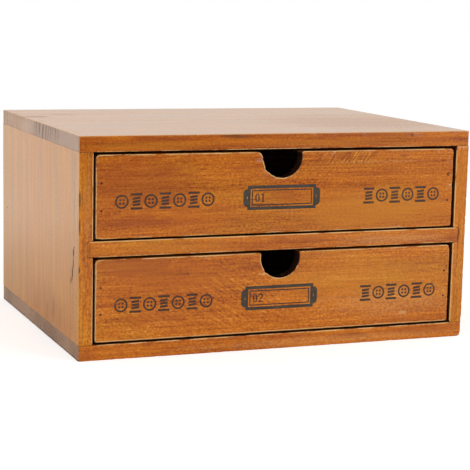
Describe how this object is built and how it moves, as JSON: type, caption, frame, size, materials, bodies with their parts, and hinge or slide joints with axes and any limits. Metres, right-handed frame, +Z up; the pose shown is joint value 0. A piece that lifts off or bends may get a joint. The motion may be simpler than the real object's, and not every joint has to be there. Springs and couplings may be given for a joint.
{
  "type": "button storage drawers",
  "caption": "Small wooden box with two stacked drawers, each with a round finger notch in its top edge, for buttons and sewing notions.",
  "frame": {"origin": "middle of the box's underside", "axes": "+X along the width, the drawers open towards -Y, +Z up"},
  "size_m": [0.3, 0.23, 0.156],
  "materials": {
    "case_wood": "satin",
    "drawer_front_wood": "satin",
    "drawer_box_wood": "matte",
    "plywood": "matte",
    "brad_steel": "dull",
    "printed_ink": "matte"
  },
  "bodies": {
    "case": {"top_panel": "case_wood", "bottom_panel": "case_wood", "left_side_panel": "case_wood", "right_side_panel": "case_wood", "divider_shelf": "case_wood", "back_panel": "plywood", "top_panel_brads": "brad_steel", "bottom_panel_brads": "brad_steel", "divider_shelf_brads": "brad_steel", "back_panel_pins": "brad_steel"},
    "lower_drawer": {"lower_drawer_front": "drawer_front_wood", "lower_drawer_left_side": "drawer_box_wood", "lower_drawer_right_side": "drawer_box_wood", "lower_drawer_back": "drawer_box_wood", "lower_drawer_bottom": "plywood", "lower_drawer_front_brads": "brad_steel", "lower_drawer_back_brads": "brad_steel", "lower_drawer_bottom_pins": "brad_steel"},
    "upper_drawer": {"upper_drawer_front": "drawer_front_wood", "upper_drawer_left_side": "drawer_box_wood", "upper_drawer_right_side": "drawer_box_wood", "upper_drawer_back": "drawer_box_wood", "upper_drawer_bottom": "plywood", "upper_drawer_front_brads": "brad_steel", "upper_drawer_back_brads": "brad_steel", "upper_drawer_bottom_pins": "brad_steel"}
  },
  "joints": [
    {"name": "lower_drawer_slide", "type": "slide", "parent": "case", "child": "lower_drawer", "axis": [0, -1, 0], "range_m": [0, 0.17]},
    {"name": "upper_drawer_slide", "type": "slide", "parent": "case", "child": "upper_drawer", "axis": [0, -1, 0], "range_m": [0, 0.17]}
  ]
}
